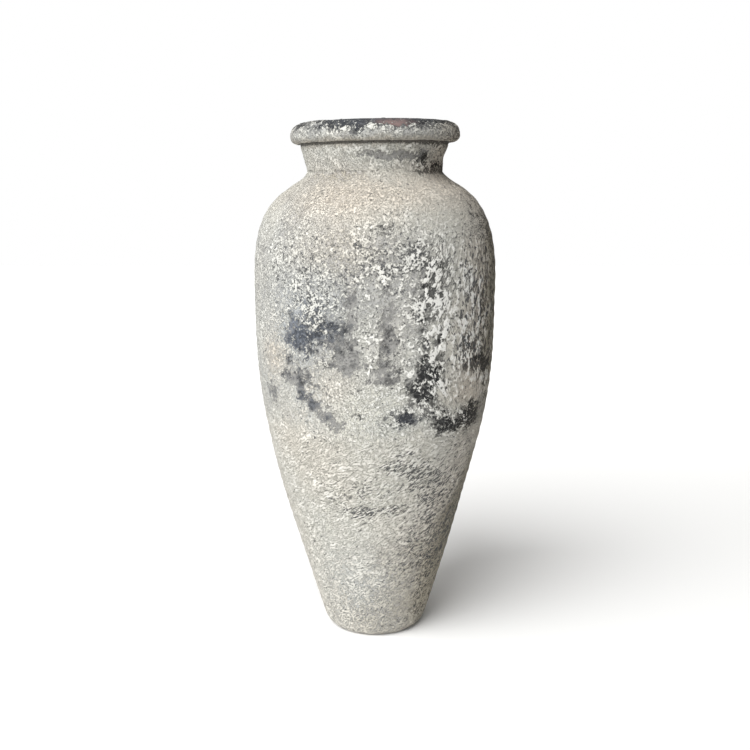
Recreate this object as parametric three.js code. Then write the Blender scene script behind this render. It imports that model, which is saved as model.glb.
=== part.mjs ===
// A tall jar of coarse fired clay, raised from thrown rings on a slab floor.
// Units are millimetres, +Z is up, and the origin is the centre of the underside.

import * as THREE from "three";

// Driving dimensions of the outside
const standRadius = 65;
const footRadius = 84;
const footHeight = 20;
const footLean = THREE.MathUtils.degToRad(17);
const coneHeight = 546;
const bellyRadius = 186;
const shoulderHeight = 161;
const neckFootRadius = 102.5;
const neckHeight = 42;
const neckTopRadius = 112.5;
const rimRadius = 127.5;
const rimHeight = 31;
const mouthRadius = 97;

// Fullness of the outside, as shares of the height of the cone, the shoulder or the neck
const footFullness = 0.674;
const bellyFullnessBelow = 0.304;
const bellyFullnessAbove = 0.876;
const shoulderFullness = 0.19;
const shoulderSlope = THREE.MathUtils.degToRad(64);
const neckFullness = 0.4;

// Rounding of the rolled rim: its upper outside is a quarter of an ellipse
const rimLowerRound = 10.5;
const rimUpperReach = 22;
const rimUpperDrop = 17;
const rimMouthRound = 8;

// Thickness of the clay
const wallThickness = 12;
const floorThickness = 18;
const floorCoilSize = 17;
const floorCoilHollow = 0.2;

// Joints between the rings: a lap, with a layer of slip in it
const lapHeight = 8;
const slipLayer = 0.3;
const footJointHeight = 185;
const waistJointHeight = 345;

// Fineness of the facets
const facetsAround = 48;
const outlineSamples = 160;
const slabEdgeRows = 5;
const coilBackRows = 2;
const coilFaceRows = 4;
const rollRows = 2;
const rowsOf = {
  footWall: { outside: 6, inside: 5 },
  lowerWall: { outside: 4, inside: 4 },
  bellyWall: { outside: 6, inside: 5 },
  shoulderWall: { outside: 9, inside: 8 },
  neckCollar: { outside: 4, inside: 4 },
};

// Heights that follow from the sizes above
const bellyHeight = footHeight + coneHeight;
const neckFootHeight = bellyHeight + shoulderHeight;
const rimJointHeight = neckFootHeight + neckHeight;
const totalHeight = rimJointHeight + rimHeight;
const floorJointHeight = floorThickness - lapHeight;

// Finish of each piece
const finishes = {
  floorSlab: { color: 0x8f8a80, roughness: 0.95 },
  floorCoil: { color: 0x57524e, roughness: 0.92 },
  footWall: { color: 0xa29e95, roughness: 0.94 },
  lowerWall: { color: 0xaaa59a, roughness: 0.94 },
  bellyWall: { color: 0x8e8f8d, roughness: 0.9 },
  shoulderWall: { color: 0xa59e93, roughness: 0.93 },
  neckCollar: { color: 0x939089, roughness: 0.9 },
  rimCoil: { color: 0x77767a, roughness: 0.88 },
};

// The curves that draw the outside from the edge of the underside up to the rim joint
function outsideCurves() {
  const footEdge = new THREE.QuadraticBezierCurve(
    new THREE.Vector2(standRadius, 0),
    new THREE.Vector2(footRadius - footHeight * Math.tan(footLean), 0),
    new THREE.Vector2(footRadius, footHeight),
  );
  const footPull = footFullness * coneHeight;
  const cone = new THREE.CubicBezierCurve(
    new THREE.Vector2(footRadius, footHeight),
    new THREE.Vector2(
      footRadius + footPull * Math.sin(footLean),
      footHeight + footPull * Math.cos(footLean),
    ),
    new THREE.Vector2(bellyRadius, bellyHeight - bellyFullnessBelow * coneHeight),
    new THREE.Vector2(bellyRadius, bellyHeight),
  );
  const shoulderPull = shoulderFullness * shoulderHeight;
  const shoulder = new THREE.CubicBezierCurve(
    new THREE.Vector2(bellyRadius, bellyHeight),
    new THREE.Vector2(bellyRadius, bellyHeight + bellyFullnessAbove * shoulderHeight),
    new THREE.Vector2(
      neckFootRadius + shoulderPull * Math.cos(shoulderSlope),
      neckFootHeight - shoulderPull * Math.sin(shoulderSlope),
    ),
    new THREE.Vector2(neckFootRadius, neckFootHeight),
  );
  const neck = new THREE.QuadraticBezierCurve(
    new THREE.Vector2(neckFootRadius, neckFootHeight),
    new THREE.Vector2(neckFootRadius, neckFootHeight + neckFullness * neckHeight),
    new THREE.Vector2(neckTopRadius, rimJointHeight),
  );
  return [footEdge, cone, shoulder, neck];
}

// A fine line at a given depth under the outside, from the foot to the rim joint
function bodyLine(depth) {
  const line = [];
  for (const curve of outsideCurves()) {
    for (let i = 0; i <= outlineSamples; i += 1) {
      const share = i / outlineSamples;
      const point = curve.getPoint(share);
      const along = curve.getTangent(share);
      line.push(new THREE.Vector2(point.x - depth * along.y, point.y + depth * along.x));
    }
  }
  return line.filter((point, i) => i === 0 || point.y > line[i - 1].y);
}

const outsideLine = bodyLine(0);
const insideLine = bodyLine(wallThickness);

// The radius of a line at a height
function radiusAt(line, height) {
  const above = line.findIndex((point) => point.y >= height);
  if (above < 1) {
    return line[above < 0 ? line.length - 1 : 0].x;
  }
  const low = line[above - 1];
  const high = line[above];
  return THREE.MathUtils.mapLinear(height, low.y, high.y, low.x, high.x);
}

// The points of a line between two heights, evenly spaced along it
function stretch(line, from, to, steps) {
  const inner = line.filter((point) => point.y > from && point.y < to);
  const start = new THREE.Vector2(radiusAt(line, from), from);
  const end = new THREE.Vector2(radiusAt(line, to), to);
  const path = new THREE.CurvePath();
  const all = [start, ...inner, end];
  all.slice(1).forEach((point, i) => path.add(new THREE.LineCurve(all[i], point)));
  return path.getSpacedPoints(steps);
}

// The radius that a lap joint at a height steps in to
function tongueRadius(height) {
  return (radiusAt(outsideLine, height) + radiusAt(insideLine, height + lapHeight)) / 2;
}

// The top of a ring: a ledge outside, and a tongue that stands up inside it
function tongue(height) {
  const radius = tongueRadius(height);
  return [
    new THREE.Vector2(radius, height),
    new THREE.Vector2(radius, height + lapHeight),
  ];
}

// The bottom of a ring: a skirt that goes down outside the tongue below it
function skirt(height) {
  const radius = tongueRadius(height) + slipLayer;
  return [
    new THREE.Vector2(radius, height + lapHeight + slipLayer),
    new THREE.Vector2(radius, height + slipLayer),
  ];
}

// A closed outline turned about the Z axis
function turned(points) {
  const shape = new THREE.LatheGeometry(points, facetsAround);
  shape.rotateX(Math.PI / 2);
  return shape;
}

function piece(name, geometry, finish) {
  const material = new THREE.MeshStandardMaterial({ ...finish, metalness: 0 });
  material.name = name;
  const mesh = new THREE.Mesh(geometry, material);
  mesh.name = name;
  return mesh;
}

// A ring of wall between two lap joints
function wallRing(bottom, top, rows) {
  const outside = stretch(outsideLine, bottom + slipLayer, top, rows.outside);
  const insideFoot = bottom + lapHeight + slipLayer;
  const inside = stretch(insideLine, insideFoot, top + lapHeight, rows.inside).reverse();
  const points = [...outside, ...tongue(top), ...inside, ...skirt(bottom)];
  return turned([...points, points[0].clone()]);
}

// The slab floor, with its rounded edge and a ledge that carries the lowest ring
function floorSlab() {
  const edge = stretch(outsideLine, 0, floorJointHeight, slabEdgeRows);
  return turned([
    new THREE.Vector2(0, 0),
    ...edge,
    ...tongue(floorJointHeight),
    new THREE.Vector2(0, floorThickness),
  ]);
}

// The coil pressed into the corner between the floor and the lowest ring
function floorCoil() {
  const bottom = floorThickness + slipLayer;
  const top = bottom + floorCoilSize;
  const back = stretch(insideLine, bottom, top, coilBackRows);
  back.forEach((point) => {
    point.x -= slipLayer;
  });
  const inner = back[0].x - floorCoilSize;
  const hollow = floorCoilSize * floorCoilHollow;
  const face = new THREE.QuadraticBezierCurve(
    back[back.length - 1],
    new THREE.Vector2(back[0].x - hollow, bottom + hollow),
    new THREE.Vector2(inner, bottom),
  ).getPoints(coilFaceRows);
  const points = [...back, ...face.slice(1)];
  return turned([...points, points[0].clone()]);
}

// The rolled rim, with its skirt round the tongue of the neck
function rimCoil() {
  const bottom = rimJointHeight + slipLayer;
  const quarter = Math.PI / 2;
  const roll = new THREE.Path();
  roll.moveTo(neckTopRadius, bottom);
  roll.lineTo(rimRadius - rimLowerRound, bottom);
  roll.absarc(rimRadius - rimLowerRound, bottom + rimLowerRound, rimLowerRound, -quarter, 0);
  roll.absellipse(
    rimRadius - rimUpperReach, totalHeight - rimUpperDrop, rimUpperReach, rimUpperDrop, 0, quarter,
  );
  roll.absarc(
    mouthRadius + rimMouthRound, totalHeight - rimMouthRound, rimMouthRound, quarter, 2 * quarter,
  );
  roll.lineTo(mouthRadius, bottom + lapHeight);
  const points = [...roll.getPoints(rollRows), ...skirt(rimJointHeight)];
  return turned([...points, points[0].clone()]);
}

const vase = new THREE.Group();
vase.name = "vase";
vase.add(
  piece("floor_slab", floorSlab(), finishes.floorSlab),
  piece("floor_coil", floorCoil(), finishes.floorCoil),
  piece("foot_wall", wallRing(floorJointHeight, footJointHeight, rowsOf.footWall), finishes.footWall),
  piece("lower_wall", wallRing(footJointHeight, waistJointHeight, rowsOf.lowerWall), finishes.lowerWall),
  piece("belly_wall", wallRing(waistJointHeight, bellyHeight, rowsOf.bellyWall), finishes.bellyWall),
  piece("shoulder_wall", wallRing(bellyHeight, neckFootHeight, rowsOf.shoulderWall), finishes.shoulderWall),
  piece("neck_collar", wallRing(neckFootHeight, rimJointHeight, rowsOf.neckCollar), finishes.neckCollar),
  piece("rim_coil", rimCoil(), finishes.rimCoil),
);

export default vase;
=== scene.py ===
import itertools
import math

import bpy
import numpy as np
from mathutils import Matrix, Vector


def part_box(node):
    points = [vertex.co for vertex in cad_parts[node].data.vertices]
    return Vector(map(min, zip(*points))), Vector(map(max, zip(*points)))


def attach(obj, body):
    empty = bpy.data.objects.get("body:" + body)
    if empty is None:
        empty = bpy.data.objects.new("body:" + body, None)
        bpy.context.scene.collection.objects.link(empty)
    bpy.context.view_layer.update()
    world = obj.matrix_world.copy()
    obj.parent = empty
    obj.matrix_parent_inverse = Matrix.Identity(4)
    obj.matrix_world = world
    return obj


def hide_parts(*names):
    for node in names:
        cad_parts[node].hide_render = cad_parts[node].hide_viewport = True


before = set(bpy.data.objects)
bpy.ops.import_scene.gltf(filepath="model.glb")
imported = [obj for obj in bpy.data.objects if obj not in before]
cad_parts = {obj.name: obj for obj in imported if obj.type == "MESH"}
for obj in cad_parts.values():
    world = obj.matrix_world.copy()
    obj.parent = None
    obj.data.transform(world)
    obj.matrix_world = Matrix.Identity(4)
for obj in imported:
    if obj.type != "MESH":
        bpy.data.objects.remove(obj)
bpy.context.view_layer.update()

mm = 0.001  # lengths are in metres; a value whose name ends in Mm holds plain millimetres

# Camera

cameraValues = {
    "distance": 1.491,  # from the vase's axis, along -Y
    "height": 0.707,
    "pitchDegrees": 11.25,  # looking down
    "focalPixels": 955,
    "picturePixels": 750,
    "sensorMm": 36,
}


def makeCamera(values):
    data = bpy.data.cameras.new("photoCamera")
    data.sensor_width = values["sensorMm"]
    data.lens = values["sensorMm"] * values["focalPixels"] / values["picturePixels"]
    camera = bpy.data.objects.new("photoCamera", data)
    camera.location = (0, -values["distance"], values["height"])
    camera.rotation_euler = (math.radians(90 - values["pitchDegrees"]), 0, 0)
    bpy.context.scene.collection.objects.link(camera)
    bpy.context.scene.camera = camera


makeCamera(cameraValues)
print("camera made")


# Node helpers, and settings that many nodes share

smoothRange = {"interpolation_type": "SMOOTHSTEP"}
colourMix = {"data_type": "RGBA"}
weighted = {"operation": "MULTIPLY_ADD"}  # input 0 times input 1, plus input 2
times = {"operation": "MULTIPLY"}


def linearColour(hexText):  # sRGB hex to the linear colour that a shader takes
    parts = [int(hexText[i:i + 2], 16) / 255 for i in (1, 3, 5)]
    return tuple(c / 12.92 if c <= 0.04045 else ((c + 0.055) / 1.055) ** 2.4 for c in parts) + (1,)


def addNode(tree, kind, settings=None, inputs=None):
    # an input, by name or place, takes a value or a link from a socket; the first output in use
    # comes back
    node = tree.nodes.new(kind)
    for key, value in (settings or {}).items():
        setattr(node, key, value)
    for key, value in (inputs or {}).items():
        socket = node.inputs[key] if isinstance(key, int) else next(
            s for s in node.inputs if s.enabled and s.name == key)
        if isinstance(value, bpy.types.NodeSocket):
            tree.links.new(value, socket)
        else:
            socket.default_value = value
    return next((s for s in node.outputs if s.enabled), None)


def newMaterial(name):
    material = bpy.data.materials.new(name)
    material.use_nodes = True
    material.node_tree.nodes.clear()
    return material, material.node_tree


# Stage: a white floor, a broad soft sun from the left and front, and a sky that is bright on that
# side and dim on the other. A dark screen that isn't seen stands on the right, so that the floor
# there doesn't light the vase's dim side

stageValues = {
    "floorSize": 14,
    "floorColour": "#f6f6f5",
    "floorRoughness": 0.9,
    "skyBright": 0.9,
    "skyDim": 0.1,
    "skyDimColour": "#e9d9bd",
    "skyBrightSide": (-0.25, -0.88, 0.4),
    "skyDimUpTo": -0.8,  # -1 is straight away from the bright side, 1 is straight towards it
    "skyBrightFrom": 0.9,
    "backdropColour": "#ffffff",  # what the camera sees behind the vase
    "backdropStrength": 1.0,
    "sunTurnDegrees": -37,  # round from the front, to the left
    "sunHeightDegrees": 46,
    "sunSpreadDegrees": 50,
    "sunStrength": 3.3,
    "screenFrom": (0.66, -0.9),
    "screenTo": (1.3, 0.9),
    "screenHeight": 1.6,
    "screenColour": "#1a1a1a",
}


def makeSky(values):
    world = bpy.data.worlds.new("soft studio sky")
    world.use_nodes = True
    tree = world.node_tree
    tree.nodes.clear()
    direction = addNode(tree, "ShaderNodeTexCoord")
    side = addNode(tree, "ShaderNodeVectorMath", {"operation": "DOT_PRODUCT"}, {
        0: direction, 1: values["skyBrightSide"]})
    share = addNode(tree, "ShaderNodeMapRange", smoothRange, {
        "Value": side, "From Min": values["skyDimUpTo"], "From Max": values["skyBrightFrom"]})
    dim = [values["skyDim"] * c for c in linearColour(values["skyDimColour"])]
    bright = [values["skyBright"]] * 3 + [1]
    sky = addNode(tree, "ShaderNodeMix", colourMix, {"Factor": share, "A": dim, "B": bright})
    light = addNode(tree, "ShaderNodeBackground", None, {"Color": sky})
    backdrop = addNode(tree, "ShaderNodeBackground", None, {
        "Color": linearColour(values["backdropColour"]), "Strength": values["backdropStrength"]})
    seen = addNode(tree, "ShaderNodeLightPath")
    both = addNode(tree, "ShaderNodeMixShader", None, {0: seen, 1: light, 2: backdrop})
    addNode(tree, "ShaderNodeOutputWorld", None, {"Surface": both})
    bpy.context.scene.world = world


def mattPanel(name, corners, finish, inputs):  # one four-cornered face
    mesh = bpy.data.meshes.new(name)
    mesh.from_pydata(corners, [], [(0, 1, 2, 3)])
    material, tree = newMaterial(finish)
    shader = addNode(tree, "ShaderNodeBsdfPrincipled", None, inputs)
    addNode(tree, "ShaderNodeOutputMaterial", None, {"Surface": shader})
    mesh.materials.append(material)
    panel = bpy.data.objects.new(name, mesh)
    bpy.context.scene.collection.objects.link(panel)
    return panel


def makeStage(values):
    half = values["floorSize"] / 2
    corners = [(-half, -half, 0), (half, -half, 0), (half, half, 0), (-half, half, 0)]
    floor = mattPanel("floor", corners, "matt white studio floor", {
        "Base Color": linearColour(values["floorColour"]), "Roughness": values["floorRoughness"]})
    makeSky(values)

    (x0, y0), (x1, y1), top = values["screenFrom"], values["screenTo"], values["screenHeight"]
    corners = [(x0, y0, 0), (x1, y1, 0), (x1, y1, top), (x0, y0, top)]
    screen = mattPanel("dark screen", corners, "matt black cloth", {
        "Base Color": linearColour(values["screenColour"]), "Roughness": 1,
        "Specular IOR Level": 0})
    screen.visible_camera = False
    screen.visible_shadow = False  # the sun passes it, so the floor behind it stays white

    light = bpy.data.lights.new("sun", "SUN")
    light.angle = math.radians(values["sunSpreadDegrees"])
    light.energy = values["sunStrength"]
    sun = bpy.data.objects.new("sun", light)
    sun.rotation_euler = (math.radians(90 - values["sunHeightDegrees"]), 0,
                          math.radians(values["sunTurnDegrees"]))
    bpy.context.scene.collection.objects.link(sun)
    bpy.context.scene.view_settings.view_transform = "Standard"


makeStage(stageValues)
print("stage made")


# Noise, worked out for whole arrays of points

noiseValues = {
    "slopes": 256,  # a power of two
    "slopeSeed": 11,
    "placePrimes": (73856093, 19349663, 83492791),  # large primes keep neighbours apart
    "seedPrime": 2654435761,
    "mixPrime": 2246822519,
    "mixShifts": (15, 13),
    "gain": 1.7,  # brings the noise to about -1 to 1
}

slopeTable = np.random.default_rng(noiseValues["slopeSeed"]).normal(size=(noiseValues["slopes"], 3))
slopeTable /= np.linalg.norm(slopeTable, axis=1)[:, None]


def slopeAt(corner, seed):
    # a corner's whole numbers and the seed, each times a prime, are mixed bit by bit into the
    # number of a row of the table
    mixed = np.bitwise_xor.reduce(corner * noiseValues["placePrimes"], axis=1)
    mixed ^= seed * noiseValues["seedPrime"]
    mixed ^= mixed >> noiseValues["mixShifts"][0]
    mixed *= noiseValues["mixPrime"]
    mixed ^= mixed >> noiseValues["mixShifts"][1]
    return slopeTable[mixed & (noiseValues["slopes"] - 1)]


def gradientNoise(points, cell, seed):
    # each corner of a cube of side cell has a random slope; their planes are blended with
    # 6t^5 - 15t^4 + 10t^3 on each axis
    scaled = points / cell
    corner = np.floor(scaled).astype(np.int64)
    within = scaled - corner
    blend = within ** 3 * (within * (within * 6 - 15) + 10)
    total = np.zeros(len(points))
    for step in itertools.product((0, 1), repeat=3):
        weight = np.prod(np.where(np.array(step) == 1, blend, 1 - blend), axis=1)
        total += weight * ((within - step) * slopeAt(corner + step, seed)).sum(1)
    return total * noiseValues["gain"]


def layeredNoise(points, cell, layers, seed, fade):
    # each layer is half as large as the one before and fade times as strong
    weights = fade ** np.arange(layers)
    total = sum(w * gradientNoise(points, cell / 2 ** k, seed + k) for k, w in enumerate(weights))
    return total / weights.sum()


def smoothStep(low, high, value):  # 0 at low, 1 at high, and 3t^2 - 2t^3 between them
    t = np.clip((value - low) / (high - low), 0, 1)
    return t * t * (3 - 2 * t)


# The outline of the vase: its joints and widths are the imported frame's

bodyValues = {
    "slip": 0.3 * mm,
    "wall": 12 * mm,
    "lap": 8 * mm,
    "standRadius": 65 * mm,
    "footRadius": 84 * mm,
    "footHeight": 20 * mm,
    "footLeanDegrees": 17,
    "footFullness": 0.674,
    "bellyFullnessBelow": 0.304,
    "bellyFullnessAbove": 0.876,
    "shoulderFullness": 0.19,
    "shoulderSlopeDegrees": 64,
    "neckFootRadius": 102.5 * mm,
    "neckFullness": 0.4,
    "around": 660,  # points round the vase
    "curveSteps": 400,
}

slip = bodyValues["slip"]
lap = bodyValues["lap"]
floorJoint = float(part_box("foot_wall")[0][2]) - slip
footJoint = float(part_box("lower_wall")[0][2]) - slip
waistJoint = float(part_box("belly_wall")[0][2]) - slip
bellyHeight = float(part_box("shoulder_wall")[0][2]) - slip
neckFoot = float(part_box("neck_collar")[0][2]) - slip
rimJoint = float(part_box("rim_coil")[0][2]) - slip
vaseTop = float(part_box("rim_coil")[1][2])
floorTop = float(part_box("floor_slab")[1][2])
bellyRadius = float(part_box("belly_wall")[1][0])
neckTopRadius = float(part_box("neck_collar")[1][0])
rimRadius = float(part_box("rim_coil")[1][0])


def bezier(points, steps):  # sum of binomial(n, k) (1 - t)^(n - k) t^k times each point
    t = np.linspace(0, 1, steps)[:, None]
    n = len(points) - 1
    return sum(
        math.comb(n, k) * (1 - t) ** (n - k) * t ** k * np.array(point)
        for k, point in enumerate(points)
    )


def outsideLine(values):  # four Bezier curves, end to end: foot edge, cone, shoulder and neck
    lean = math.radians(values["footLeanDegrees"])
    slope = math.radians(values["shoulderSlopeDegrees"])
    footRadius, footHeight = values["footRadius"], values["footHeight"]
    neckRadius = values["neckFootRadius"]
    cone = bellyHeight - footHeight
    shoulder = neckFoot - bellyHeight
    pull = values["footFullness"] * cone
    tuck = values["shoulderFullness"] * shoulder
    curves = [
        [(values["standRadius"], 0), (footRadius - footHeight * math.tan(lean), 0),
         (footRadius, footHeight)],
        [(footRadius, footHeight),
         (footRadius + pull * math.sin(lean), footHeight + pull * math.cos(lean)),
         (bellyRadius, bellyHeight - values["bellyFullnessBelow"] * cone),
         (bellyRadius, bellyHeight)],
        [(bellyRadius, bellyHeight),
         (bellyRadius, bellyHeight + values["bellyFullnessAbove"] * shoulder),
         (neckRadius + tuck * math.cos(slope), neckFoot - tuck * math.sin(slope)),
         (neckRadius, neckFoot)],
        [(neckRadius, neckFoot),
         (neckRadius, neckFoot + values["neckFullness"] * (rimJoint - neckFoot)),
         (neckTopRadius, rimJoint)],
    ]
    lines = [bezier(points, values["curveSteps"]) for points in curves]
    return np.vstack([lines[0]] + [line[1:] for line in lines[1:]])


def lineNormals(line):  # the tangent turned a quarter turn outwards
    along = np.gradient(line, axis=0)
    along /= np.linalg.norm(along, axis=1)[:, None] + 1e-12
    return np.stack([along[:, 1], -along[:, 0]], axis=1)


# The inside is the outside moved in by the wall, less the points that turn back down

outside = outsideLine(bodyValues)
outsideNormals = lineNormals(outside)
inside = outside - bodyValues["wall"] * outsideNormals
inside = inside[np.concatenate([[True], np.diff(np.maximum.accumulate(inside[:, 1])) > 0])]


def stretch(line, low, high, spacing):  # points of a line between two heights, evenly spaced
    middle = line[(line[:, 1] > low) & (line[:, 1] < high)]
    ends = [[np.interp(z, line[:, 1], line[:, 0]), z] for z in (low, high)]
    points = np.vstack([ends[:1], middle, ends[1:]])
    run = np.concatenate([[0], np.cumsum(np.linalg.norm(np.diff(points, axis=0), axis=1))])
    places = np.linspace(0, run[-1], max(2, round(run[-1] / spacing)) + 1)
    return np.stack([np.interp(places, run, points[:, i]) for i in (0, 1)], axis=1)


# The worn lime wash: where it lies, how thick, how dark the clay is where it has gone, and where
# shade and light are painted on.
# A patch is (degrees round from the front, height, half width, half height, strength), in mm.

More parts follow.
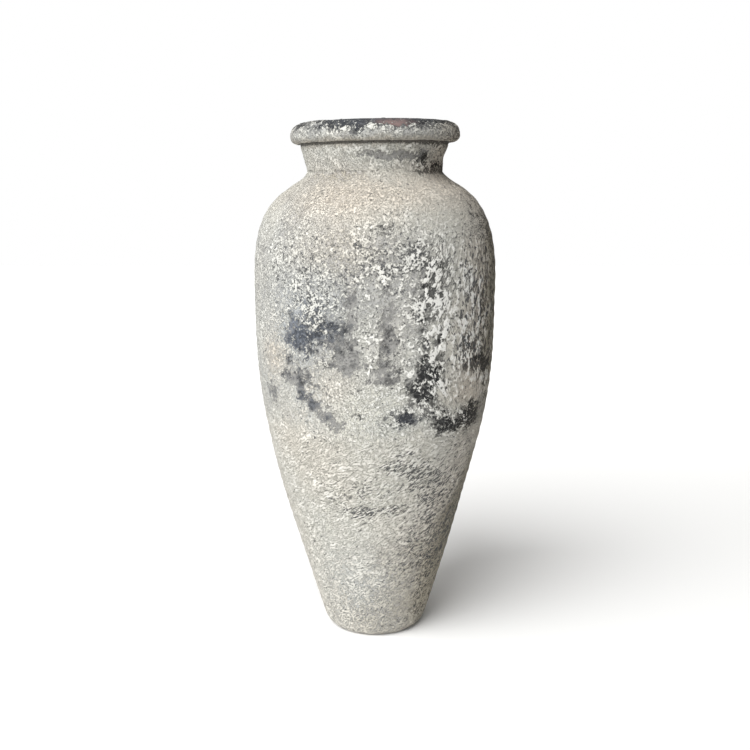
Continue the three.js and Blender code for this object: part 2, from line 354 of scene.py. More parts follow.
washValues = {
    "wiped": [  # the wash is gone, down to smooth grey clay
        (-35, 496, 30, 27, 1.0),
        (-19, 501, 22, 17, 0.85),
        (-12, 466, 24, 27, 1.1),
        (-9, 528, 11, 28, 0.65),
        (-12, 553, 13, 14, 0.8),
        (6, 505, 13, 44, 1.1),
        (4, 452, 18, 13, 0.7),
        (11, 434, 16, 10, 0.65),
        (0, 434, 12, 8, 0.6),
        (5, 570, 40, 14, 0.35),
        (3, 651, 12, 9, 0.5),
        (11, 626, 16, 10, 0.4),
        (21, 545, 6, 40, 0.4),
        (22, 490, 5, 28, 0.6),
        (30, 490, 5, 24, 0.6),
        (26, 566, 12, 8, 0.5),
        (25, 448, 20, 17, 0.85),
        (22, 415, 19, 15, 0.8),
        (28, 386, 10, 18, 0.5),
        (14, 380, 20, 12, 0.9),
        (35, 367, 13, 15, 1.1),
        (43, 361, 10, 11, 0.9),
        (54, 371, 23, 17, 1.3),
        (57, 458, 21, 13, 1.0),
        (66, 438, 18, 15, 1.2),
        (-39, 438, 34, 22, 0.7),
        (-32, 408, 16, 22, 0.8),
        (-24, 382, 20, 22, 0.7),
        (-17, 366, 16, 12, 0.6),
        (-58, 405, 22, 28, 0.7),
        (-7, 388, 6, 7, 0.6),
        (-62, 702, 44, 24, 0.3),
        (58, 668, 40, 36, 0.35),
        (16, 750, 60, 9, 0.9),
        (38, 747, 14, 8, 0.8),
        (62, 735, 26, 6, 0.7),
        (-20, 796, 46, 12, 1.0),
        (46, 799, 70, 8, 0.9),
        (14, 796, 30, 8, 0.7),
        (-66, 792, 20, 10, 0.6),
        (-150, 798, 160, 8, 0.8),
        (150, 470, 50, 50, 0.6),
        (-150, 430, 30, 80, 0.5),
        (105, 540, 20, 80, 0.5),
        (-110, 390, 50, 20, 0.6),
        (175, 250, 50, 20, 0.3),
        (-100, 745, 60, 9, 0.8),
        (170, 744, 50, 9, 0.7),
    ],
    "dark": [  # the clay is smoked: speckled at a half, almost black at 1. Some patches below are painted shade, as marked
        (-34, 500, 50, 42, 0.56),
        (-36, 486, 18, 16, 0.4),
        (-19, 501, 34, 24, 0.46),
        (-27, 522, 11, 8, 0.4),
        (-30, 548, 46, 26, 0.25),
        (-12, 553, 14, 15, 0.2),
        (-11, 466, 24, 28, 0.4),
        (-25, 464, 16, 9, 0.3),
        (6, 500, 14, 48, 0.44),
        (6, 452, 18, 15, 0.3),
        (10, 433, 20, 12, 0.3),
        (3, 651, 20, 13, 0.35),
        (12, 616, 70, 40, 0.25),
        (-10, 590, 90, 60, 0.12),
        (24, 600, 24, 30, 0.25),
        (24, 540, 22, 64, 0.5),
        (33, 590, 14, 26, 0.45),
        (32, 552, 20, 24, 0.5),
        (18, 528, 9, 36, 0.4),
        (26, 566, 18, 12, 0.3),
        (22, 488, 10, 32, 0.3),
        (30, 486, 9, 28, 0.5),
        (25, 447, 26, 20, 1.1),
        (21, 414, 25, 18, 1.0),
        (28, 387, 17, 22, 0.6),
        (14, 380, 26, 15, 1.0),
        (35, 366, 16, 18, 1.4),
        (43, 361, 14, 13, 1.2),
        (54, 370, 26, 19, 1.7),
        (57, 458, 28, 18, 1.4),
        (66, 438, 25, 19, 1.7),
        (47, 478, 22, 14, 0.6),
        (46, 446, 16, 11, 0.6),
        (-39, 440, 38, 24, 0.4),
        (-31, 410, 18, 24, 0.35),
        (-33, 400, 12, 16, 0.3),
        (-23, 380, 24, 26, 0.33),
        (-58, 405, 22, 30, 0.35),
        (-7, 388, 10, 9, 0.5),
        # painted shade, over some real darkening: the patches from 58 to 92 degrees darken the side
        # away from the light
        (64, 525, 40, 40, 0.5),
        (78, 490, 60, 110, 0.85),
        (92, 570, 90, 130, 1.4),
        (92, 250, 56, 100, 0.7),
        (68, 120, 60, 130, 0.85),
        (88, 130, 50, 130, 0.8),
        (58, 80, 34, 80, 0.4),
        (18, 750, 60, 10, 0.1),
        (44, 744, 14, 9, 0.5),
        (47, 736, 14, 5, 0.7),
        (64, 735, 30, 6, 0.95),
        # painted shadow under the rim on the right, and painted shade on the neck's right side
        (64, 763, 44, 5, 0.8),
        (80, 750, 44, 22, 0.4),
        (-20, 797, 60, 15, 1.0),
        (14, 797, 40, 9, 0.5),
        (46, 799, 76, 11, 0.9),
        (0, 788, 110, 12, 0.42),
        (-66, 792, 26, 12, 0.5),
        (70, 788, 44, 22, 0.5),
        (-150, 798, 160, 8, 0.7),
        (150, 470, 50, 46, 0.8),
        (-150, 430, 40, 70, 0.6),
        (-110, 388, 50, 22, 0.8),
    ],
    "blue": [  # the smoke and the film are bluish
        (-36, 495, 40, 44, 0.8),
        (-28, 550, 60, 30, 0.4),
        (-19, 501, 24, 24, 0.4),
        (-50, 520, 70, 70, 0.5),
        (-60, 410, 36, 40, 0.6),
        (-31, 396, 34, 40, 0.8),
        (15, 382, 30, 20, 0.5),
        (46, 566, 24, 22, 0.6),
        (-24, 105, 64, 80, 0.9),
        (0, 798, 110, 16, 0.5),
        (150, 470, 70, 60, 0.6),
    ],
    "crusted": [  # white crust stands thick, in chunks, or is thin below zero
        (26, 520, 24, 80, 0.75),
        (15, 500, 18, 60, 0.35),
        (26, 491, 8, 15, 1.0),
        (-1, 492, 10, 44, 0.5),
        (-30, 550, 70, 50, -0.25),
        (2, 580, 60, 40, 0.25),
        (0, 60, 140, 70, -0.12),
        (-30, 504, 60, 46, -0.4),
        (46, 566, 14, 20, 0.6),
        (48, 510, 60, 100, 0.6),
        (20, 402, 40, 26, 0.3),
        (24, 430, 34, 30, 0.3),
        (44, 368, 60, 18, 0.45),
        (66, 424, 30, 8, 0.5),
        (10, 733, 90, 5, 0.3),
        (0, 762, 90, 5, 0.3),
        (40, 738, 14, 16, 0.4),
        (0, 780, 110, 7, 0.3),
        (-60, 784, 30, 8, 0.2),
        (-170, 500, 120, 100, 0.4),
        (120, 420, 90, 70, 0.4),
    ],
    "pitted": [  # small dark flakes of clay show through
        (11, 305, 22, 10, 1.4),
        (25, 293, 18, 12, 1.5),
        (22, 272, 12, 12, 1.4),
        (33, 282, 20, 22, 1.2),
        (38, 250, 34, 26, 0.7),
        (16, 322, 44, 14, 0.5),
        (50, 300, 40, 50, 0.5),
        (46, 150, 40, 46, 0.9),
        (30, 190, 40, 60, 0.5),
        (64, 200, 34, 80, 0.9),
        (-6, 231, 26, 9, 1.3),
        (10, 233, 16, 9, 1.0),
        (-3, 275, 36, 12, 0.6),
        (-16, 256, 46, 16, 0.5),
        (12, 612, 60, 40, 0.5),
        (52, 540, 50, 110, 0.8),
        (41, 480, 26, 70, 0.3),
        (-32, 592, 90, 60, 0.4),
        (0, 490, 120, 100, 0.2),
        (-100, 220, 60, 90, 0.4),
        (150, 200, 90, 90, 0.5),
    ],
    "pale": [  # the film is paler, or darker below zero. Some patches are painted light and painted shade, as marked
        # painted light, in part: these two make the lower left and front paler, where the light
        # falls
        (-40, 240, 110, 130, 0.5),
        (0, 310, 80, 50, 0.4),
        (47, 411, 48, 24, 0.7),
        (44, 550, 60, 100, 0.5),
        (6, 586, 110, 44, -0.25),
        # painted shade at the neck's foot
        (-32, 719, 70, 7, -0.8),
        (-28, 552, 50, 28, -0.4),
        (2, 396, 70, 30, 0.5),
        (6, 120, 90, 90, -0.45),
        (0, 25, 130, 45, -0.35),
        # painted shade: these five, below zero, darken the lower and right side away from the light
        (66, 110, 72, 140, -1.0),
        (32, 80, 44, 80, -0.5),
        (84, 240, 80, 130, -0.6),
        (50, 60, 50, 60, -0.7),
        (84, 560, 90, 140, -0.55),
        # painted light: lightens the underside of the rim's roll
        (20, 768, 250, 9, 0.1),
        (-42, 688, 60, 40, -0.5),
    ],
    "warm": [  # the wash is more cream or pink, and the smoke brown. Some patches paint the brown tint of shade, as marked
        (-5, 695, 190, 34, 0.9),
        (-15, 624, 70, 40, 0.4),
        (-52, 462, 32, 28, 0.8),
        (44, 470, 40, 70, 0.4),
        (-20, 425, 40, 34, 0.4),
        (-40, 350, 60, 56, 0.3),
        (47, 411, 48, 24, 0.6),
        # painted shade: these three give the side away from the light its brown tint
        (84, 520, 90, 170, 1.0),
        (62, 560, 60, 110, 0.5),
        (80, 160, 90, 170, 1.0),
        # painted shade: the brown tint of the neck's right side and of the shadow under the rim
        (80, 750, 60, 50, 0.9),
        (-10, 768, 200, 5, 0.6),
        (150, 320, 120, 60, 0.5),
    ],
    "rust": [  # a reddish flush on the bare rim
        (13, 792, 24, 6, 1.0),
        (-140, 792, 30, 6, 0.7),
    ],
}


# How the patches and the noise make up the wash. washLayers names its shares as the mesh keeps
# them, three to an attribute. In "shares" each is the sum of its terms times their numbers

washLayers = {
    "washFilm": ("film", "tone", "warm"),
    "washCrust": ("crust", "pits", "blue"),
    "washStain": ("dark", "rust", "thick"),
}
washNames = [name for names in washLayers.values() for name in names]

wearValues = {
    "noises": {  # size in mm, layers, seed, strength that each layer keeps of the one before
        "pushAcross": (24, 2, 3, 0.5),
        "ruffleAcross": (6, 2, 5, 1),
        "pushUp": (24, 2, 7, 0.5),
        "ruffleUp": (6, 2, 9, 1),
        "ragged": (17, 4, 61, 0.9),
        "broad": (80, 3, 21, 0.6),
        "mottle": (14, 3, 31, 0.8),
        "cloud": (36, 3, 41, 0.7),
        "chunk": (10, 3, 51, 0.8),
        "uneven": (40, 3, 71, 0.5),
    },
    "pushMm": 11,  # how far noise pushes the edge of a patch about
    "ruffleMm": 9,
    "pushUpNeck": 0.5,
    "pushLeastRadiusMm": 60,
    "raggedShare": 0.9,
    "raggedRise": 2.5,
    "broadStretch": (1, 1, 0.5),
    "mottleStretch": (1, 1, 0.75),
    "bareFrom": 0.4,  # the wash thins out from here, and is gone at the next
    "bareFull": 0.6,
    "deepestWipe": 1.4,
    "waistMm": (372, 336),  # the lower wall's coat sets in down from here
    "shoulderMm": (620, 685),  # the shoulder's coat sets in up from here
    "neckMm": 3,  # the neck's coat sets in over this height
    # painted shade: the crease term darkens the clay and thins the white crust under the rim and at
    # the neck's foot
    "creaseMm": 4,
    "creaseReachMm": (5, 1),  # past the neck: where the painted shade under the rim ends, and is full
    "neckCrease": 0.3,
    "shares": {
        "film": {"all": 1, "bare": -1},
        "tone": {"all": 0.4, "cloud": 0.4, "lower": 0.38, "upper": 0.5, "neck": 0.2, "rim": -0.3,
                 "pale": 1},
        "warm": {"all": 0.08, "broad": 0.3, "lower": 0.2, "warm": 1},
        "crust": {"all": 0.5, "mottle": 0.14, "cloud": 0.08, "chunk": 0.25, "upperChunk": -0.12,
                  "crusted": 0.02, "crustedChunk": 1.5, "wiped": -0.17, "bare": -0.1,
                  "lower": 0.05, "neck": 0.08, "rim": -0.1, "crease": -0.5, "dark": 0.03},
        "pits": {"all": 0.1, "cloud": 0.4, "upper": -0.1, "neck": -0.3, "pitted": 1},
        "blue": {"cloud": 0.3, "blue": 1},
        "dark": {"all": 0.04, "cloud": 0.2, "crease": 1.4, "dark": 1},
        "rust": {"rust": 1},
        "thick": {"all": 0.2, "cloud": 0.25, "crusted": 0.7, "lower": -0.1, "upper": -0.2,
                  "neck": -0.2, "rim": -0.3},
    },
}


def patchField(patches, angle, height, radius):  # the sum of smooth humps, each exp(-distance^2)
    total = np.zeros_like(angle)
    for degrees, up, halfWide, halfHigh, strength in patches:
        turn = np.mod(angle - math.radians(degrees) + math.pi, 2 * math.pi) - math.pi
        across = turn * radius / (halfWide * mm)
        rise = (height - up * mm) / (halfHigh * mm)
        total += strength * np.exp(-(across ** 2 + rise ** 2))
    return total


def wearNoise(name, points):
    size, layers, seed, fade = wearValues["noises"][name]
    return layeredNoise(points, size * mm, layers, seed, fade)


def creaseDirt(values, height, radius):  # painted shade in the creases: a bell curve of height at the rim's and the neck's foot
    width = values["creaseMm"] * mm
    end, full = (neckTopRadius + reach * mm for reach in values["creaseReachMm"])
    underRim = np.exp(-((height - rimJoint) / width) ** 2) * smoothStep(end, full, radius)
    return underRim + values["neckCrease"] * np.exp(-((height - neckFoot) / width) ** 2)


def washMap(values, points, brushed, angle, radius):
    # the nine shares, from 0 to 1, at each point: patches whose edges noise pushes about and
    # makes ragged, plus where on the vase the point is, plus noise
    height = points[:, 2]
    pushAcross, pushUp = (
        values["pushMm"] * mm * wearNoise("push" + way, brushed)
        + values["ruffleMm"] * mm * wearNoise("ruffle" + way, brushed)
        for way in ("Across", "Up"))
    bentAngle = angle + pushAcross / np.maximum(radius, values["pushLeastRadiusMm"] * mm)
    bentHeight = height + pushUp * np.where(height > neckFoot, values["pushUpNeck"], 1)
    terms = {
        name: patchField(patches, bentAngle, bentHeight, radius)
        for name, patches in washValues.items()}
    ragged = values["raggedShare"] * wearNoise("ragged", brushed)
    for name in ("wiped", "dark"):
        terms[name] += ragged * np.minimum(1, values["raggedRise"] * terms[name])
    neckTop = neckFoot + values["neckMm"] * mm
    waistTop, waistFull = (place * mm for place in values["waistMm"])
    shoulderFoot, shoulderFull = (place * mm for place in values["shoulderMm"])
    chunk = wearNoise("chunk", brushed)
    upper = smoothStep(shoulderFoot, shoulderFull, bentHeight) * (height < neckTop)
    terms.update({
        "all": np.ones_like(height),
        "broad": wearNoise("broad", points * values["broadStretch"]),
        "mottle": wearNoise("mottle", points * values["mottleStretch"]),
        "cloud": wearNoise("cloud", points),
        "chunk": chunk,
        "upperChunk": upper * chunk,
        "crustedChunk": terms["crusted"] * chunk,
        "lower": smoothStep(waistTop, waistFull, bentHeight),
        "upper": upper,
        "neck": smoothStep(neckFoot, neckTop, height),
        "rim": height > rimJoint,
        "crease": creaseDirt(values, height, radius),
        "bare": smoothStep(values["bareFrom"], values["bareFull"], terms["wiped"]),
        "wiped": np.clip(terms["wiped"], 0, values["deepestWipe"]),
    })
    shares = [
        sum(weight * terms[term] for term, weight in values["shares"][name].items())
        for name in washNames]
    return np.clip(np.stack(shares, axis=1), 0, 1)


# The way the brush went, and how far the wash stands out

brushValues = {
    "turn": 7,  # radians per metre
    "streakSide": (0.3, 0.8),  # shares of the radius to the right: where they start and are full
    "streakMiddleMm": 510,
    "streakReachMm": (190, 110),  # up and down from there: where they end and are full
    "streakSqueeze": 0.45,
    "leastRadiusMm": 1,
}

crustValues = {
    "thicknessMm": 0.7,  # how far the white crust stands out from the film
    "standsFrom": 0.35,  # the share of crust at which it starts to, and at which it is full
    "standsFull": 0.65,
    "filmMm": 0.4,
    "sunkMm": 0.8,  # the clay under the wash lies this far inside the drawn outline
    "unevenMm": 0.5,
}


def brushPlace(values, points):
    # the places at which the patterns are read. Below the waist they are turned about the axis
    # by an angle that grows with depth, so that the flecks lean the way the brush went, and on
    # the right of the belly heights are squeezed, so that the flecks there run up and down
    x, y, height = points[:, 0], points[:, 1], points[:, 2]
    turn = values["turn"] * np.minimum(height - waistJoint, 0)
    cos, sin = np.cos(turn), np.sin(turn)
    side = smoothStep(*values["streakSide"], x / np.hypot(x, y).clip(values["leastRadiusMm"] * mm))
    middle = values["streakMiddleMm"] * mm
    end, full = (reach * mm for reach in values["streakReachMm"])
    squeeze = values["streakSqueeze"] * side * smoothStep(end, full, abs(height - middle))
    squeezed = middle + (height - middle) * (1 - squeeze)
    return np.stack([x * cos + y * sin, y * cos - x * sin, squeezed], axis=1)


def washLift(values, points, film, crust):
    # the crust's thickness where its share is high, plus the film's, both where there is wash,
    # less the depth of the bare clay, plus broad unevenness
    lift = values["thicknessMm"] * smoothStep(values["standsFrom"], values["standsFull"], crust)
    lift = (lift + values["filmMm"]) * film - values["sunkMm"]
    return mm * (lift + values["unevenMm"] * wearNoise("uneven", points))


# The hand-made form: the rings drift off the axis, the rim is tilted, the body is a little oval
# and fine throwing rings run round it

handValues = {
    "driftMm": [(235, 90, -2.2), (703, 20, 2.2), (748, 15, -2.2)],  # height, spread, offset in X
    "rimTiltDegrees": 0.9,
    "tiltFromMm": 735,
    "tiltFullMm": 772,
    "ovalMm": 0.9,
    "ovalTwistMm": 170,  # up this height the oval's wave moves on by a radian
    "ovalFadeMm": (20, 200),
    "ringMm": 0.3,
    "ringPitchMm": 19,
    "ringWander": (1.5, 37),  # radians, and the height of the wave in mm
    "ringSlant": 0.6,
    "ringFadeMm": (10, 60),
    "topFadeMm": (800, 770),
    "topShare": 0.3,  # of the oval and the rings that is left at the top
    "leastRadiusMm": 20,
}


def handForm(points, values):
    # whole rings move sideways by a sum of bell curves of height, and the top is tilted. The
    # radius swells by the oval, a sine of twice the angle, and by the rings, a sine of the height
    height = points[:, 2] / mm
    moved = points.copy()
    for middle, spread, offset in values["driftMm"]:
        moved[:, 0] += offset * mm * np.exp(-((height - middle) / spread) ** 2)
    tilted = smoothStep(values["tiltFromMm"], values["tiltFullMm"], height)
    moved[:, 2] += points[:, 0] * math.tan(math.radians(values["rimTiltDegrees"])) * tilted
    radius = np.hypot(points[:, 0], points[:, 1])
    angle = np.arctan2(points[:, 0], -points[:, 1])
    oval = values["ovalMm"] * np.sin(2 * angle + height / values["ovalTwistMm"])
    wander, wave = values["ringWander"]
    ringPhase = 2 * math.pi * height / values["ringPitchMm"] + wander * np.sin(height / wave)
    rings = values["ringMm"] * np.sin(ringPhase + values["ringSlant"] * angle)
    swell = oval * smoothStep(*values["ovalFadeMm"], height)
    swell += rings * smoothStep(*values["ringFadeMm"], height)
    left = values["topShare"]
    swell *= left + (1 - left) * smoothStep(*values["topFadeMm"], height)
    moved[:, :2] *= (1 + swell * mm / np.maximum(radius, values["leastRadiusMm"] * mm))[:, None]
    return moved


# Building a turned piece from rows of a profile

def stackProfile(parts):
    # joins parts of (rows, normals), where a part without normals is bare clay, and finds the
    # corners, which are the rows at which a part starts or ends
    profile = np.vstack([rows for rows, normals in parts])
    stacked = np.vstack([
        np.zeros_like(rows) if normals is None else normals for rows, normals in parts])
    washed = np.concatenate([np.full(len(rows), normals is not None) for rows, normals in parts])
    starts = np.cumsum([0] + [len(rows) for rows, normals in parts])
    corners = sorted({int(s) % len(profile) for s in starts} | {int(s) - 1 for s in starts[1:]})
    return profile, stacked, washed, corners


def turnedFaces(rows, around, poles):
    # a quad between each point, the next one round and the two on the next row. Poles close the
    # first and the last row with fans; without them the last row joins the first
    lastRow = rows - 1 if poles else rows
    row = np.arange(lastRow)[:, None]
    column = np.arange(around)[None, :]
    nextRow = (row + 1) % rows
    nextColumn = (column + 1) % around
    faces = np.stack([
        row * around + column, row * around + nextColumn,
        nextRow * around + nextColumn, nextRow * around + column,
    ], axis=-1).reshape(-1, 4).tolist()
    faceRows = np.repeat(np.arange(lastRow), around)
    if poles:
        under, over, last = rows * around, rows * around + 1, (rows - 1) * around
        ring = np.arange(around)
        after = (ring + 1) % around
        faces += np.stack([np.full(around, under), after, ring], axis=1).tolist()
        faces += np.stack([np.full(around, over), last + ring, last + after], axis=1).tolist()
        faceRows = np.concatenate([faceRows, np.zeros(around, int), np.full(around, rows - 1)])
    return faces, faceRows


def turnedPiece(name, replaced, finish, parts, poles=False):
    # each row (radius, height) of the profile is turned to (r sin a, -r cos a, z), and the wash
    # raises the washed rows along their normals
    profile, normals, washed, corners = stackProfile(parts)
    rows, around = len(profile), bodyValues["around"]
    angle = np.tile(np.arange(around) * 2 * math.pi / around, rows)
    sin, cos = np.sin(angle), np.cos(angle)
    radius = np.repeat(profile[:, 0], around)
    points = np.stack([radius * sin, -radius * cos, np.repeat(profile[:, 1], around)], axis=1)
    brushed = brushPlace(brushValues, points)
    wash = washMap(wearValues, points, brushed, angle, radius)
    film, crust = (wash[:, washNames.index(name)] for name in ("film", "crust"))
    lift = washLift(crustValues, points, film, crust) * np.repeat(washed, around)
    points[:, 0] += lift * np.repeat(normals[:, 0], around) * sin
    points[:, 1] -= lift * np.repeat(normals[:, 0], around) * cos
    points[:, 2] += lift * np.repeat(normals[:, 1], around)
    points = handForm(points, handValues)
    points[:, 2] = np.maximum(points[:, 2], 0)
    if poles:
        points = np.vstack([points, [[0, 0, profile[0, 1]], [0, 0, profile[-1, 1]]]])
        wash = np.vstack([wash, np.zeros((2, wash.shape[1]))])
        brushed = np.vstack([brushed, points[-2:]])
    faces, faceRows = turnedFaces(rows, around, poles)

    mesh = bpy.data.meshes.new(name)
    mesh.from_pydata(points.tolist(), [], faces)
    mesh.polygons.foreach_set("use_smooth", np.ones(len(faces), bool))
    bareFace = ~washed[np.minimum(faceRows, rows - 1)] | ~washed[(faceRows + 1) % rows]
    mesh.polygons.foreach_set("material_index", bareFace.astype(np.int32))
    layers = {label: wash[:, 3 * i:3 * i + 3] for i, label in enumerate(washLayers)}
    layers["brushPlace"] = brushed
    for label, vectors in layers.items():
        layer = mesh.attributes.new(label, "FLOAT_VECTOR", "POINT")
        layer.data.foreach_set("vector", vectors.ravel())
    edges = np.empty(len(mesh.edges) * 2, np.int32)
    mesh.edges.foreach_get("vertices", edges)
    edgeRows = edges.reshape(-1, 2) // around
    sharp = (edgeRows[:, 0] == edgeRows[:, 1]) & np.isin(edgeRows[:, 0], corners)
    mesh.attributes.new("sharp_edge", "BOOLEAN", "EDGE").data.foreach_set("value", sharp)
    for material in (finish, bareClay):
        mesh.materials.append(material)
    mesh.update()
    piece = bpy.data.objects.new(name, mesh)
    bpy.context.scene.collection.objects.link(piece)
    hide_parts(replaced)
    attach(piece, "root")
    print(name, "made,", len(faces), "faces")


# Lime wash over reduction-fired clay: chalky, pale and matt where the wash is left, slate grey
# and slightly smoother where it has worn through, with a ragged crackled edge between them

washFinish = {
    "clay": "#838280",
    "paleClay": "#9a9995",
    # the smoke colours serve the real smoke stains, and also the painted shade on the side away
    # from the light and under the rim
    "smoke": "#28292a",
    "paleSmoke": "#626261",
    "blueSmoke": "#41454c",
    "paleBlueSmoke": "#797e86",
    "brownSmokeAndShade": "#3c372e",
    "rust": "#7d6a67",
    "film": "#a4a4a2",
    "paleFilm": "#cecdc3",
    "warmFilm": "#beb5a9",
    "blueFilm": "#b2b7b9",
    "crust": "#cacac4",
    "thickCrust": "#e4e3de",
    "warmCrust": "#d2c9bb",
    # painted shade: the crust's darker, browner colour on the side away from the light
    "paintedShadeCrust": "#96907f",
    "pit": "#555657",
    "noises": {  # size in mm, detail, distortion
        "grain": (1.3, 2, 0),  # the sand is about 0.5 mm, drawn coarser so that it shows
        "fleck": (2.9, 5, 0.6),  # marks of single bristles
        "dab": (5.3, 4, 0.5),  # dabs of the brush
        "curl": (7, 4, 0.6),  # curled edges of the crust
        "cloud": (19, 5, 0.4),  # clouds of smoke
    },
    "noiseRoughness": 0.6,
    "masks": {  # terms and their weights, then the sums at which the mask is 0 and 1
        "palerClay": ({"dab": 1}, 0.35, 0.65),
        "smoked": ({"dark": 1, "cloud": 0.5, "dab": 1.2}, 1.12, 1.55),
        "thinSmoke": ({"dab": 1, "dark": -0.35}, 0.1, 0.45),
        "filmEdge": ({"film": 1, "dab": 1.6}, 1.15, 1.4),
        "palerFilm": ({"tone": 1, "dab": 0.9, "fleck": 0.5}, 0.8, 1.5),
        "flakes": ({"pits": -0.33, "cloud": 0.3, "dab": 1.6, "fleck": 1.3}, 1.26, 1.21),
        "ridge": ({"fromMiddle": 1}, 0.1, 0),
        "crustEdge": ({"crust": 1, "fleck": 1.8, "ridge": 0.12, "chunk": 1}, 1.38, 1.54),
        "whiter": ({"crust": 1, "fleck": 1.8, "ridge": 0.12, "chunk": 1, "thick": 0.5}, 1.74, 2.06),
        # painted shade: where the film's tone is low, on the side away from the light
        "duller": ({"tone": 1}, 0.6, 0),
    },
    "chunkShare": 0.4,
    "warmShare": 0.8,
    "blueShare": 0.5,
    "smokeAndShadeShare": 0.85,
    "paintedCrustShadeShare": 0.85,
    "flakeShare": 0.9,
    "grainRange": (0.25, 0.75),
    "grainShade": (0.85, 1.08),
    "filmRelief": 0.35,
    "fleckRelief": 0.34,
    "crustBumpMm": 1.75,
    "limeRoughness": 0.95,
    "clayRoughness": 0.82,
    "specular": 0.25,
}


def washTerms(tree, values):
    # by name, what washMap wrote into the mesh, and a noise of each size, read where the brush
    # went
    terms = {}
    for label, names in washLayers.items():
        read = addNode(tree, "ShaderNodeAttribute", {"attribute_name": label})
        split = addNode(tree, "ShaderNodeSeparateXYZ", None, {
            "Vector": read.node.outputs["Vector"]})
        terms.update(zip(names, split.node.outputs))
    place = addNode(tree, "ShaderNodeAttribute", {
        "attribute_name": "brushPlace"}).node.outputs["Vector"]
    for name, (size, detail, distortion) in values["noises"].items():
        terms[name] = addNode(tree, "ShaderNodeTexNoise", None, {
            "Vector": place, "Scale": 1 / (size * mm), "Detail": detail,
            "Roughness": values["noiseRoughness"], "Distortion": distortion})
    return terms


def washMask(tree, values, terms, name):  # a weighted sum of terms, cut softly between two sums
    weights, low, high = values["masks"][name]
    level = 0
    for term, weight in weights.items():
        level = addNode(tree, "ShaderNodeMath", weighted, {0: terms[term], 1: weight, 2: level})
    return addNode(tree, "ShaderNodeMapRange", smoothRange, {
        "Value": level, "From Min": low, "From Max": high})


def smokedClay(tree, values, colours, terms):
    # two tones of clay, smoked dark in soft clouds, some bluish and some brown. The same mask
    # paints shade on the side away from the light and in the creases, brown where the warm patches
    # lie
    smoked = washMask(tree, values, terms, "smoked")
    thinner = washMask(tree, values, terms, "thinSmoke")
    smoke, blueSmoke = (
        addNode(tree, "ShaderNodeMix", colourMix, {
            "Factor": thinner, "A": colours[full], "B": colours[thin]})
        for full, thin in (("smoke", "paleSmoke"), ("blueSmoke", "paleBlueSmoke")))
    browner = addNode(tree, "ShaderNodeMath", times, {0: terms["warm"], 1: values["warmShare"]})
    for share, tone in ((terms["blue"], blueSmoke), (browner, colours["brownSmokeAndShade"])):
        smoke = addNode(tree, "ShaderNodeMix", colourMix, {"Factor": share, "A": smoke, "B": tone})
    ground = colours["clay"]
    paler = washMask(tree, values, terms, "palerClay")
    for share, tone in (
            (paler, colours["paleClay"]), (smoked, smoke), (terms["rust"], colours["rust"])):
        ground = addNode(tree, "ShaderNodeMix", colourMix, {
            "Factor": share, "A": ground, "B": tone})
    return ground, smoke, smoked


def limeFilm(tree, values, colours, terms, smoke, smoked):
    # the thin wash, torn at its edge, and darkened where the smoke is strong and where shade is
    # painted
    paler = washMask(tree, values, terms, "palerFilm")
    warmer, bluer, darker = (
        addNode(tree, "ShaderNodeMath", times, {0: term, 1: values[share]})
        for term, share in (
            (terms["warm"], "warmShare"), (terms["blue"], "blueShare"), (smoked, "smokeAndShadeShare")))
    film = colours["film"]
    for share, tone in (
            (paler, colours["paleFilm"]), (warmer, colours["warmFilm"]),
            (bluer, colours["blueFilm"]), (darker, smoke)):
        film = addNode(tree, "ShaderNodeMix", colourMix, {"Factor": share, "A": film, "B": tone})
    return film, washMask(tree, values, terms, "filmEdge")


def limeCrust(tree, values, colours, terms, flakes):
    # thick lime in curled flecks: small noise, plus thin curved ridges where a second noise
    # crosses its middle, plus chunks where the crust is thick
    curl, chunk = (
        addNode(tree, "ShaderNodeMath", {"operation": "SUBTRACT"}, {0: terms[name], 1: 0.5})
        for name in ("curl", "dab"))
    fromMiddle = addNode(tree, "ShaderNodeMath", {"operation": "ABSOLUTE"}, {0: curl})
    chunkier = addNode(tree, "ShaderNodeMath", {"operation": "ADD"}, {
        0: terms["thick"], 1: values["chunkShare"]})
    chunk = addNode(tree, "ShaderNodeMath", times, {0: chunk, 1: chunkier})
    terms = {**terms, "fromMiddle": fromMiddle, "chunk": chunk}
    terms["ridge"] = washMask(tree, values, terms, "ridge")
    edge = washMask(tree, values, terms, "crustEdge")
    edge = addNode(tree, "ShaderNodeMath", weighted, {0: flakes, 1: -values["flakeShare"], 2: edge})
    whiter = washMask(tree, values, terms, "whiter")
    # painted shade: the crust is darkened and browned where the film's tone is low and warm, on the
    # side away from the light
    duller = washMask(tree, values, terms, "duller")
    duller = addNode(tree, "ShaderNodeMath", times, {0: duller, 1: values["paintedCrustShadeShare"]})
    duller = addNode(tree, "ShaderNodeMath", times, {0: duller, 1: terms["warm"]})
    lime = colours["crust"]
    for share, tone in (
            (terms["warm"], colours["warmCrust"]), (whiter, colours["thickCrust"]),
            (duller, colours["paintedShadeCrust"])):
        lime = addNode(tree, "ShaderNodeMix", colourMix, {"Factor": share, "A": lime, "B": tone})
    return lime, edge


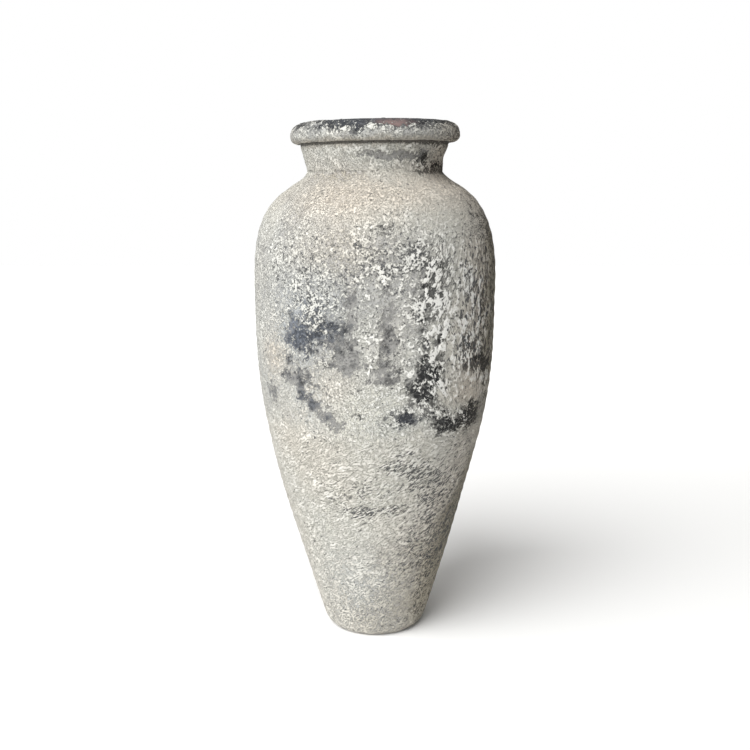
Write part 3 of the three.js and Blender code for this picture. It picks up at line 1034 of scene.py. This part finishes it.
def limeWashOverClay(name, values):
    material, tree = newMaterial(name)
    colours = {
        key: linearColour(value) for key, value in values.items() if str(value)[0] == "#"}
    terms = washTerms(tree, values)
    colour, smoke, smoked = smokedClay(tree, values, colours, terms)
    film, filmEdge = limeFilm(tree, values, colours, terms, smoke, smoked)
    flakes = washMask(tree, values, terms, "flakes")  # chipped off, down to dark clay
    lime, crustEdge = limeCrust(tree, values, colours, terms, flakes)
    flaked = addNode(tree, "ShaderNodeMath", times, {0: flakes, 1: values["flakeShare"]})
    for share, tone in ((filmEdge, film), (flaked, colours["pit"]), (crustEdge, lime)):
        colour = addNode(tree, "ShaderNodeMix", colourMix, {
            "Factor": share, "A": colour, "B": tone})
    (low, high), (dim, bright) = values["grainRange"], values["grainShade"]
    shade = addNode(tree, "ShaderNodeMapRange", smoothRange, {
        "Value": terms["grain"], "From Min": low, "From Max": high,
        "To Min": dim, "To Max": bright})
    colour = addNode(tree, "ShaderNodeVectorMath", {"operation": "SCALE"}, {
        0: colour, "Scale": shade})
    relief = addNode(tree, "ShaderNodeMath", weighted, {
        0: filmEdge, 1: values["filmRelief"], 2: crustEdge})
    relief = addNode(tree, "ShaderNodeMath", weighted, {
        0: terms["fleck"], 1: values["fleckRelief"], 2: relief})
    bump = addNode(tree, "ShaderNodeBump", None, {
        "Height": relief, "Distance": values["crustBumpMm"] * mm, "Strength": 1})
    covered = addNode(tree, "ShaderNodeMath", {"operation": "ADD", "use_clamp": True}, {
        0: filmEdge, 1: crustEdge})
    rough = addNode(tree, "ShaderNodeMapRange", None, {
        "Value": covered, "To Min": values["clayRoughness"], "To Max": values["limeRoughness"]})
    shader = addNode(tree, "ShaderNodeBsdfPrincipled", None, {
        "Base Color": colour, "Roughness": rough, "Normal": bump,
        "Specular IOR Level": values["specular"]})
    addNode(tree, "ShaderNodeOutputMaterial", None, {"Surface": shader})
    return material


# Bare fired clay inside: dark brown-grey, matt, with a fine sandy grain

bareFinish = {
    "clay": "#5b5550",
    "dust": "#7d766d",  # fine pale dust that settles inside
    "grainMm": 1.2,  # sand of about 0.5 mm, drawn coarser so that it shows
    "grainDetail": 3,
    "cloudMm": 40,
    "cloudDetail": 4,
    "dustFrom": 0.4,
    "dustFull": 0.7,
    "bumpMm": 0.3,
    "roughness": 0.92,
    "specular": 0.25,
}


def bareFiredClay(name, values):
    material, tree = newMaterial(name)
    place = addNode(tree, "ShaderNodeTexCoord").node.outputs["Object"]
    grain, cloud = (
        addNode(tree, "ShaderNodeTexNoise", None, {
            "Vector": place, "Scale": 1 / (values[size] * mm), "Detail": values[detail]})
        for size, detail in (("grainMm", "grainDetail"), ("cloudMm", "cloudDetail")))
    share = addNode(tree, "ShaderNodeMapRange", None, {
        "Value": cloud, "From Min": values["dustFrom"], "From Max": values["dustFull"]})
    colour = addNode(tree, "ShaderNodeMix", colourMix, {
        "Factor": share, "A": linearColour(values["clay"]), "B": linearColour(values["dust"])})
    bump = addNode(tree, "ShaderNodeBump", None, {
        "Height": grain, "Distance": values["bumpMm"] * mm, "Strength": 1})
    shader = addNode(tree, "ShaderNodeBsdfPrincipled", None, {
        "Base Color": colour, "Roughness": values["roughness"],
        "Normal": bump, "Specular IOR Level": values["specular"]})
    addNode(tree, "ShaderNodeOutputMaterial", None, {"Surface": shader})
    return material


washedClay = limeWashOverClay("lime wash over fired clay", washFinish)
rimClay = limeWashOverClay("worn lime wash on the rim", washFinish)
bareClay = bareFiredClay("bare fired clay", bareFinish)
print("materials made")


# Profiles that the pieces share

def tongueRadius(height):  # where a joint's tongue stands: half way through the wall
    outer = np.interp(height, outside[:, 1], outside[:, 0])
    inner = np.interp(height + lap, inside[:, 1], inside[:, 0])
    return (outer + inner) / 2


def tongueAt(height, top):
    return np.array([[tongueRadius(height), height], [tongueRadius(height), top]])


def skirtAt(height):
    radius = tongueRadius(height) + slip
    return np.array([[radius, height + lap], [radius, height]])


def outsideNormalsAt(rows):
    return np.stack([
        np.interp(rows[:, 1], outside[:, 1], outsideNormals[:, i]) for i in (0, 1)], axis=1)


def arc(centre, reach, fromDegrees, toDegrees, spacing):  # centre + (reach cos t, rise sin t)
    length = math.radians(abs(toDegrees - fromDegrees)) * sum(reach) / 2
    turn = np.radians(np.linspace(fromDegrees, toDegrees, max(3, round(length / spacing)) + 1))
    return np.stack([
        centre[0] + reach[0] * np.cos(turn), centre[1] + reach[1] * np.sin(turn)], axis=1)


def straight(start, end, spacing):  # the points between two ends
    count = max(2, round(math.dist(start, end) / spacing))
    return np.linspace(start, end, count, endpoint=False)[1:]


# The floor and the coil in its corner

floorValues = {
    "poleRadius": 6 * mm,
    "edgeSpacing": 1.5 * mm,
    "underRows": 14,
    "topRows": 12,
    "topInset": 4 * mm,
    "coilRows": 8,
    "coilFaceRows": 16,
    "coilHollow": 0.2,  # of the coil's size
}


def floorSlab(name, replaced, values):
    pole, stand = values["poleRadius"], bodyValues["standRadius"]
    edge = stretch(outside, 0, floorJoint, values["edgeSpacing"])
    under = np.linspace((pole, 0), (stand, 0), values["underRows"])[:-1]
    rim = tongueRadius(floorJoint) - values["topInset"]
    top = np.linspace((rim, floorTop), (pole, floorTop), values["topRows"])
    turnedPiece(name, replaced, washedClay, [
        (under, None), (edge, outsideNormalsAt(edge)), (tongueAt(floorJoint, floorTop), None),
        (top, None)], poles=True)


def floorCoil(name, replaced, values):
    low, high, reach = (float(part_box("floor_coil")[i][j]) for i, j in ((0, 2), (1, 2), (1, 0)))
    foot = float(np.interp(low, inside[:, 1], inside[:, 0])) - slip
    size = high - low
    hollow = values["coilHollow"] * size
    back = np.linspace((foot, low), (reach, high), values["coilRows"])
    face = bezier([(reach, high), (foot - hollow, low + hollow), (foot - size, low)],
                  values["coilFaceRows"])
    bed = np.linspace((foot - size, low), (foot, low), values["coilRows"])[1:-1]
    turnedPiece(name, replaced, bareClay, [
        (back, None), (face[1:], None), (bed, None)])


# The rings of wall

wallValues = {
    "rowSpacing": 1.8 * mm,
    "innerSpacing": 11 * mm,
}


def wallRing(name, replaced, bottom, top, values):
    outer = stretch(outside, bottom, top, values["rowSpacing"])
    inner = stretch(inside, bottom + lap, top + lap, values["innerSpacing"])[::-1]
    turnedPiece(name, replaced, washedClay, [
        (outer, outsideNormalsAt(outer)), (tongueAt(top, top + lap), None), (inner, None),
        (skirtAt(bottom), None)])


# The rolled rim

rimValues = {
    "lowerRound": 10.5 * mm,
    "upperReach": 22 * mm,
    "upperDrop": 17 * mm,
    "mouthRadius": 97 * mm,
    "mouthRound": 8 * mm,
    "spacing": 1.3 * mm,
    "underRows": 7,
    "underInset": 1 * mm,  # how far its underside starts inside the neck's outside
}


def rimCoil(name, replaced, values):
    mouth, low, lip = values["mouthRadius"], values["lowerRound"], values["mouthRound"]
    reach, drop, step = values["upperReach"], values["upperDrop"], values["spacing"]
    start = neckTopRadius - values["underInset"]
    roll = np.vstack([
        np.linspace((start, rimJoint), (rimRadius - low, rimJoint), values["underRows"])[:-1],
        arc((rimRadius - low, rimJoint + low), (low, low), -90, 0, step),
        straight((rimRadius, rimJoint + low), (rimRadius, vaseTop - drop), step),
        arc((rimRadius - reach, vaseTop - drop), (reach, drop), 0, 90, step),
        arc((mouth + lip, vaseTop - lip), (lip, lip), 90, 180, step),
        straight((mouth, vaseTop - lip), (mouth, rimJoint + lap), step),
    ])
    turnedPiece(name, replaced, rimClay, [
        (roll, lineNormals(roll)), (np.array([[mouth, rimJoint + lap]]), None),
        (skirtAt(rimJoint), None)])


floorSlab("floorSlab", "floor_slab", floorValues)
floorCoil("floorCoil", "floor_coil", floorValues)
wallRing("footWall", "foot_wall", floorJoint, footJoint, wallValues)
wallRing("lowerWall", "lower_wall", footJoint, waistJoint, wallValues)
wallRing("bellyWall", "belly_wall", waistJoint, bellyHeight, wallValues)
wallRing("shoulderWall", "shoulder_wall", bellyHeight, neckFoot, wallValues)
wallRing("neckCollar", "neck_collar", neckFoot, rimJoint, wallValues)
rimCoil("rimCoil", "rim_coil", rimValues)
